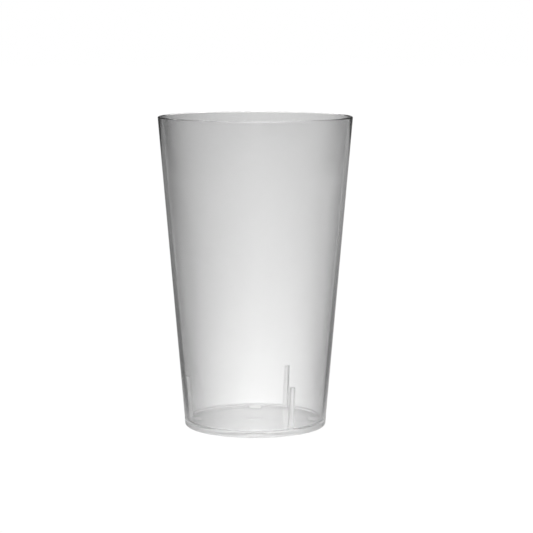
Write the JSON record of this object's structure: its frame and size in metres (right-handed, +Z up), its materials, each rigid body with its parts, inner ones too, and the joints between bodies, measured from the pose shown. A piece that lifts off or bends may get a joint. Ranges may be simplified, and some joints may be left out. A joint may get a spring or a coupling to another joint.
{
  "type": "pint glass",
  "caption": "Straight-tapered stacking pint tumbler in translucent plastic, with upright stacking ribs inside at the base and a recessed foot ring.",
  "frame": {"origin": "centre of the foot, on the surface the tumbler stands on", "axes": "+Z up along the axis of the cup; -Y is the front, where a foot lug lies"},
  "size_m": [0.0874, 0.0874, 0.14],
  "materials": {
    "translucent_plastic": "natural translucent moulded plastic, satin, slightly hazy"
  },
  "bodies": {
    "root": {"cup_body": "translucent_plastic"}
  },
  "joints": []
}
